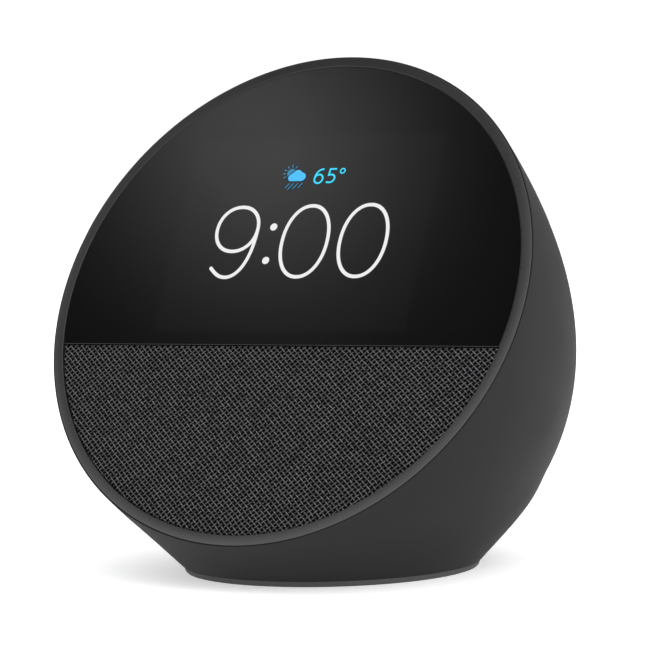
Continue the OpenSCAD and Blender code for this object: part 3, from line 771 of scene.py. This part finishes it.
def cloth_material():
    """A mesh of two families of threads that cross over and under. Each thread has a painted highlight along its
    crest and painted shade where it dips under, and the gaps between the threads are near black with painted
    shade.
    """
    shader = Shader("speaker_cloth", face_space)
    x, v, _ = shader.axes()
    wander = shader.math("MULTIPLY", shader.math("SUBTRACT", shader.noise(4 * MM, detail=1), 0.5), 0.5)
    turns_x = shader.math("MULTIPLY", x, WEAVE_X)
    turns_v = shader.math("ADD", shader.math("MULTIPLY", v, WEAVE_V), wander)
    first = shader.math("ADD", turns_v, turns_x)
    second = shader.math("SUBTRACT", turns_v, turns_x)

    def off(turns):
        return shader.math("ABSOLUTE", shader.math("SUBTRACT", shader.math("FRACT", turns), 0.5))

    def wave(turns):
        return shader.math("SINE", shader.math("MULTIPLY", turns, math.pi))

    def strand(beside, crossing, gain):
        """A thread: a painted highlight along its crest on a dim band that darkens towards its edges, with painted
        shade where it dips under.
        """
        crest_highlight = shader.ramp(beside, 0.03, 0.13, gain, 0.0)
        band = shader.ramp(beside, 0.12, THREAD_HALF, 0.16, 0.0)
        dip_shade = shader.math("MULTIPLY_ADD", crossing, 0.42, 0.58)
        return shader.math("MULTIPLY", shader.math("MAXIMUM", crest_highlight, band), dip_shade)

    off_one, off_two = off(first), off(second)
    over = shader.math("MULTIPLY", wave(first), wave(second))
    under = shader.math("MULTIPLY", over, -1.0)
    # The second family's painted highlight is a little dimmer than the first's.
    strands = shader.math("MAXIMUM", strand(off_one, over, 1.0), strand(off_two, under, 0.8))
    fibre = shader.noise(0.16 * MM, detail=2, rough=0.7)
    patchy = shader.noise(0.6 * MM, detail=2, rough=0.6)
    lit = shader.math("MULTIPLY", strands, shader.ramp(patchy, 0.3, 0.7, 0.45, 1.5))
    lit = shader.math("MULTIPLY", lit, shader.ramp(fibre, 0.3, 0.7, 0.5, 1.4), clamp=True)
    # Colour runs from near black in the gaps, which is painted shade, up to the painted highlight on the thread
    # crests.
    shader.set(
        color=shader.tones(lit, (0.0012, 0.0012, 0.0014), (0.155, 0.155, 0.159)),
        rough=0.95,
        specular=0.02,
    )
    shader.bump(shader.math("ADD", strands, shader.math("MULTIPLY", fibre, 0.1)), 0.1 * MM, 0.5)
    return shader.material


def add_cloth():
    """One stretched sheet, turned down all round its edge."""
    chord = face_v("speaker_fabric")[1] + CLOTH_HIGHER
    top = min(face_h("speaker_fabric")[1], 0.0)
    outline = segment(GLASS_R, None, chord, 0.6 * MM)
    centre = Vector((0, (chord - GLASS_R) / 2))
    bm = bmesh.new()
    turn_down = ((0.0, -0.45), (0.04, -0.22), (0.14, -0.08), (0.32, -0.01), (0.6, 0.0))   # in mm
    rings = []
    for inset, drop in turn_down:
        rings.append([
            bm.verts.new((*(p + (centre - p).normalized() * inset * MM), top + drop * MM))
            for p in outline
        ])
    for share in (0.8, 0.6, 0.4, 0.2):
        rings.append([bm.verts.new((*(centre + (p - centre) * share), top)) for p in outline])
    for near, far in zip(rings, rings[1:]):
        bridge(bm, near, far)
    fan(bm, rings[-1], (*centre, top))
    mesh = mesh_from(bm, "stretched_cloth", FACE_MATRIX)
    cloth = link_piece("stretched_cloth", mesh, "housing", ["speaker_fabric"], sharp=80)
    cloth.data.materials.append(cloth_material())


# ---- Figures on the screen ----------------------------------------------------

# From the CAD glass's front, which is GLASS_BACK in front of the glass drawn here
FIGURE_GAP = 0.02 * MM
FIGURE_H = face_h("display_glass")[1] + FIGURE_GAP
FIGURE_T = 0.02 * MM


def ribbon(bm, points, width, closed=False):
    """A flat band of constant width along a line, with round ends if it is open."""
    half = width / 2
    count = len(points)
    left, right = [], []
    for i, point in enumerate(points):
        after = points[(i + 1) % count] if closed else points[min(i + 1, count - 1)]
        before = points[i - 1] if closed else points[max(i - 1, 0)]
        way = (after - before).normalized()
        side = Vector((-way.y, way.x)) * half
        left.append(bm.verts.new((*(point + side), FIGURE_H)))
        right.append(bm.verts.new((*(point - side), FIGURE_H)))
    for i in range(count if closed else count - 1):
        k = (i + 1) % count
        bm.faces.new([left[i], right[i], right[k], left[k]])
    if not closed:
        disc(bm, points[0], half)
        disc(bm, points[-1], half)


def disc(bm, centre, radius, steps=28):
    """A flat round dot."""
    ring = []
    for k in range(steps):
        turn = 2 * math.pi * k / steps
        point = centre + radius * Vector((math.cos(turn), math.sin(turn)))
        ring.append(bm.verts.new((*point, FIGURE_H)))
    bm.faces.new(ring)


def arc(centre, half_w, half_h, start, end, steps=40, fullness=2.0):
    """Points of a rounded arc, in degrees; fullness above 2 squares it off."""
    points = []
    for k in range(steps + 1):
        turn = math.radians(start + (end - start) * k / steps)
        c, s = math.cos(turn), math.sin(turn)
        x = math.copysign(abs(c) ** (2 / fullness), c) * half_w
        y = math.copysign(abs(s) ** (2 / fullness), s) * half_h
        points.append(centre + Vector((x, y)))
    return points


def curve(p0, p1, p2, p3, steps=24):
    """Points of a curve from p0 to p3, drawn towards p1 and p2."""
    points = []
    for k in range(steps + 1):
        t = k / steps
        u = 1 - t
        points.append(p0 * u ** 3 + p1 * 3 * u * u * t + p2 * 3 * u * t * t + p3 * t ** 3)
    return points


def draw_zero(bm, centre, half_w, half_h, width):
    """One tall rounded ring."""
    ribbon(bm, arc(centre, half_w, half_h, 0, 360, 72, 2.12)[:-1], width, closed=True)


def draw_nine(bm, centre, half_w, half_h, width):
    """A bowl above and a tail that sweeps down and to the left."""
    bowl_h = half_h * 0.632
    bowl = centre + Vector((-0.03 * half_w, half_h - bowl_h))
    ribbon(bm, arc(bowl, half_w * 0.97, bowl_h, 0, 360, 64, 2.1)[:-1], width, closed=True)
    right = bowl + Vector((half_w * 0.97, 0))
    low = centre + Vector((-0.08 * half_w, -half_h))
    tip = centre + Vector((-0.85 * half_w, -half_h * 0.74))
    out_of_bowl = right + Vector((0.03 * half_w, -0.95 * half_h))
    fall = curve(right, out_of_bowl, low + Vector((0.55 * half_w, 0)), low)
    into_tip = tip + Vector((0.25 * half_w, -0.15 * half_h))
    tail = curve(low, low + Vector((-0.32 * half_w, 0)), into_tip, tip, 12)
    ribbon(bm, fall + tail[1:], width)


def draw_six(bm, centre, half_w, half_h, width):
    """A bowl below and a stem that sweeps up and to the right."""
    bowl = centre + Vector((0, -half_h * 0.38))
    ribbon(bm, arc(bowl, half_w, half_h * 0.62, 0, 360, 40)[:-1], width, closed=True)
    stem = curve(
        centre + Vector((0.75 * half_w, half_h)),
        centre + Vector((-0.3 * half_w, half_h * 1.02)),
        centre + Vector((-half_w, half_h * 0.4)),
        centre + Vector((-half_w, -half_h * 0.38)),
    )
    ribbon(bm, stem, width)


def draw_five(bm, centre, half_w, half_h, width):
    """A top bar, a neck and an open bowl."""
    top = [centre + Vector((0.8 * half_w, half_h)), centre + Vector((-0.62 * half_w, half_h))]
    neck = centre + Vector((-0.75 * half_w, 0.12 * half_h))
    bowl = curve(
        neck,
        centre + Vector((1.35 * half_w, 0.6 * half_h)),
        centre + Vector((1.4 * half_w, -1.25 * half_h)),
        centre + Vector((-0.9 * half_w, -0.88 * half_h)),
    )
    ribbon(bm, top, width)
    ribbon(bm, [top[1], neck], width)
    ribbon(bm, bowl, width)


def figure_material(name, color, strength):
    """Light from the screen, very slightly uneven as a lit panel is."""
    shader = Shader(name, face_space)
    glow = shader.tones(shader.noise(6 * MM), shade(color, 0.96), color)
    shader.set(color=(0.0, 0.0, 0.0, 1), rough=0.4, glow_color=glow, glow=strength)
    return shader.material


def add_figure(name, bm, material):
    """Gives flat figures a hair of thickness and makes them a piece, just off the glass."""
    faces = list(bm.faces)
    grown = bmesh.ops.extrude_face_region(bm, geom=faces)
    raised = [item for item in grown["geom"] if isinstance(item, bmesh.types.BMVert)]
    bmesh.ops.translate(bm, verts=raised, vec=(0, 0, FIGURE_T))
    piece = link_piece(name, mesh_from(bm, name, FACE_MATRIX), "housing")
    piece.data.materials.append(material)


def add_clock():
    """The time in tall thin figures, placed from the lit area's centre."""
    low, high = face_v("lcd_panel")
    middle_v = (low + high) / 2 - 2.08 * MM
    half_h = 8.31 * MM
    nine_x, nine_half_w = -15.1 * MM, 5.22 * MM
    zero_half_w = 5.5 * MM
    colon_x, dot_r = -6.35 * MM, 0.85 * MM
    stroke = 0.8 * MM
    white = figure_material("figure_white", (0.87, 0.87, 0.87), 1.0)
    nine = bmesh.new()
    draw_nine(nine, Vector((nine_x, middle_v)), nine_half_w, half_h, stroke)
    add_figure("clock_nine", nine, white)
    for name, x in (("clock_zero_left", 2.06 * MM), ("clock_zero_right", 16.14 * MM)):
        zero = bmesh.new()
        draw_zero(zero, Vector((x, middle_v)), zero_half_w, half_h, stroke)
        add_figure(name, zero, white)
    colon = bmesh.new()
    for rise in (-4.42, 3.46):
        disc(colon, Vector((colon_x, middle_v + rise * MM)), dot_r)
    add_figure("clock_colon", colon, white)


def add_cloud(bm, centre):
    """A flat-bottomed cloud with a large and a small hump."""
    left = arc(centre + Vector((-1.25, -0.45)) * MM, 0.85 * MM, 0.85 * MM, 270, 120, 14)
    crown = arc(centre + Vector((0.0, 0.2)) * MM, 1.15 * MM, 1.15 * MM, 150, 35, 16)
    right = arc(centre + Vector((1.2, -0.32)) * MM, 0.98 * MM, 0.98 * MM, 75, -90, 16)
    points = left + crown + right
    bm.faces.new([bm.verts.new((p.x, p.y, FIGURE_H)) for p in points])


def add_weather():
    """A cloud with the sun behind it and rain below, and the temperature."""
    low, high = face_v("lcd_panel")
    line = (low + high) / 2 + 13.26 * MM
    cyan = figure_material("figure_cyan", (0.045, 0.71, 1.0), 1.0)
    blue = figure_material("figure_blue", (0.07, 0.53, 1.0), 1.0)
    dim = figure_material("figure_dim_blue", (0.04, 0.24, 0.42), 1.0)
    small_w, small_h, stroke = 1.0 * MM, 1.65 * MM, 0.42 * MM
    degrees = bmesh.new()
    draw_six(degrees, Vector((1.86 * MM, line)), small_w, small_h, stroke)
    draw_five(degrees, Vector((4.9 * MM, line)), small_w, small_h, stroke)
    ring, ring_r = Vector((7.36 * MM, line + 1.14 * MM)), 0.54 * MM
    ribbon(degrees, arc(ring, ring_r, ring_r, 0, 360, 28)[:-1], 0.32 * MM, closed=True)
    add_figure("weather_degrees", degrees, cyan)
    cloud = bmesh.new()
    add_cloud(cloud, Vector((-3.62 * MM, line + 0.28 * MM)))
    add_figure("weather_cloud", cloud, blue)
    sun, sun_r = Vector((-5.2 * MM, line + 0.92 * MM)), 1.02 * MM
    thin = 0.24 * MM
    rays = bmesh.new()
    for turn in (55, 90, 125, 155, 185, 215):
        way = Vector((math.cos(math.radians(turn)), math.sin(math.radians(turn))))
        ribbon(rays, [sun + way * 1.45 * MM, sun + way * 1.95 * MM], thin)
    rim = arc(sun, sun_r, sun_r, 38, 222, 24)
    rays.faces.new([rays.verts.new((p.x, p.y, FIGURE_H)) for p in rim])
    for x, drop in ((-5.1, 1.0), (-4.1, 1.5), (-3.0, 1.3), (-1.9, 1.0)):
        top = Vector((x * MM, line - 1.62 * MM))
        ribbon(rays, [top, top + Vector((-0.72, -0.92)) * drop * MM], thin)
    add_figure("weather_sun_and_rain", rays, dim)


# ---- Buttons ------------------------------------------------------------------

SIGN_TOP = 0.06 * MM
SIGN_ROOT = -0.3 * MM


def button_outline(reach):
    """Half section of a cap with its flange and stem, as (r, z)."""
    flange, stem = BUTTON_R + 0.9 * MM, 1.5 * MM
    flange_top, flange_low = -3.25 * MM, -3.95 * MM
    return eased([
        (0, -0.12 * MM, 0),
        (BUTTON_R * 0.55, -0.06 * MM, 0.6 * MM),
        (BUTTON_R - 0.25 * MM, 0, 0.4 * MM),
        (BUTTON_R, -0.45 * MM, 0.2 * MM),
        (BUTTON_R, flange_top, 0),
        (flange, flange_top, 0.1 * MM),
        (flange, flange_low, 0.1 * MM),
        (stem, flange_low, 0),
        (stem, -reach, 0.1 * MM),
        (0, -reach, 0),
    ])


def add_bar(bm, turn):
    """A raised bar with round ends, for the plus and minus signs."""
    half, reach = 0.25 * MM, 1.5 * MM
    ends = arc(Vector((reach - half, 0)), half, half, -90, 90, 8)
    ends += arc(Vector((half - reach, 0)), half, half, 90, 270, 8)
    spin = Matrix.Rotation(turn, 2)
    low = [bm.verts.new((*(spin @ p), SIGN_ROOT)) for p in ends]
    side = [bm.verts.new((*(spin @ p), 0.0)) for p in ends]
    top = [bm.verts.new((*(spin @ (p * 0.94)), SIGN_TOP)) for p in ends]
    bridge(bm, low, side)
    bridge(bm, side, top)
    bm.faces.new(top)
    bm.faces.new(low[::-1])


def sign_shape(body):
    """A ring, a minus or a plus, raised from the top of a cap."""
    if body == "mute":
        inner, outer = 1.15 * MM, 1.6 * MM
        return turned(eased([
            (inner, SIGN_ROOT, 0),
            (inner, SIGN_TOP, 0.06 * MM),
            (outer, SIGN_TOP, 0.06 * MM),
            (outer, SIGN_ROOT, 0),
        ]), 64)
    bm = bmesh.new()
    add_bar(bm, 0)
    if body == "volume_up":
        add_bar(bm, math.pi / 2)
    return bm


def add_buttons():
    """Three caps that ride the keys' bodies, each with its sign."""
    cap_look = grained("button_satin", (0.019, 0.0192, 0.02), 0.5, 0.15 * MM, 0.012 * MM)
    sign_look = grained("sign_grey", (0.13, 0.131, 0.135), 0.5, 0.15 * MM, 0.008 * MM)
    for body in BUTTONS:
        node = body + "_button"
        matrix = button_matrix(body)
        low, high = span(node, matrix.to_3x3().col[2])
        outline = button_outline(high - SIGN_RISE - low)
        mesh = mesh_from(turned(outline, 96), body + "_cap", matrix)
        cap = link_piece(body + "_cap", mesh, body, [node])
        cap.data.materials.append(cap_look)
        mesh = mesh_from(sign_shape(body), body + "_sign", matrix)
        sign = link_piece(body + "_sign", mesh, body)
        sign.data.materials.append(sign_look)


# ---- The CAD parts that stay ----------------------------------------------------

FINISHES = {
    # slot: (roughness, grain size in mm, grain depth in mm, metallic)
    "black_plastic": (0.45, 0.2, 0.015, 0),
    "foot_rubber": (0.75, 0.3, 0.03, 0),
    "rubber": (0.7, 0.3, 0.02, 0),
    "black_foam": (0.9, 0.25, 0.06, 0),
    "lcd": (0.2, 0.4, 0.001, 0),
    "clear_plastic": (0.1, 0.5, 0.002, 0),
    "led_white": (0.35, 0.3, 0.01, 0),
    "steel": (0.32, 0.12, 0.006, 1),
    "coated_steel": (0.45, 0.15, 0.01, 0.4),
    "screw_steel": (0.35, 0.1, 0.006, 1),
    "magnet": (0.4, 0.15, 0.008, 0.6),
    "copper": (0.3, 0.2, 0.01, 1),
    "paper_cone": (0.85, 0.5, 0.04, 0),
    "spider_cloth": (0.8, 0.35, 0.05, 0),
    "circuit_board": (0.35, 0.5, 0.004, 0),
    "chip": (0.6, 0.12, 0.008, 0),
    "connector": (0.5, 0.25, 0.01, 0),
    "thermal_pad": (0.7, 0.4, 0.02, 0),
    "aluminium": (0.38, 0.12, 0.006, 1),
    "flex_film": (0.3, 0.4, 0.004, 0),
    "brass_can": (0.28, 0.15, 0.005, 1),
    "wire_red": (0.4, 0.3, 0.008, 0),
    "wire_black": (0.4, 0.3, 0.008, 0),
}


def finish_cad_parts():
    """Gives every CAD part that still shows its own node material."""
    colors = {row["slot"]: row["base_color"] for row in frame["record"]["materials"]}
    made = {}
    for row in frame["record"]["subparts"]:
        part = frame["nodes"][row["node"]]
        slot = row["material_slot"]
        if part.hide_render:
            continue
        if slot not in made:
            rough, grain, depth, metal = FINISHES[slot]
            name = slot + "_look"
            made[slot] = grained(name, colors[slot], rough, grain * MM, depth * MM, metal=metal)
        part.data.materials.clear()
        part.data.materials.append(made[slot])


add_studio()
add_housing()
add_bezel()
add_glass()
add_cloth()
add_clock()
add_weather()
add_buttons()
finish_cad_parts()
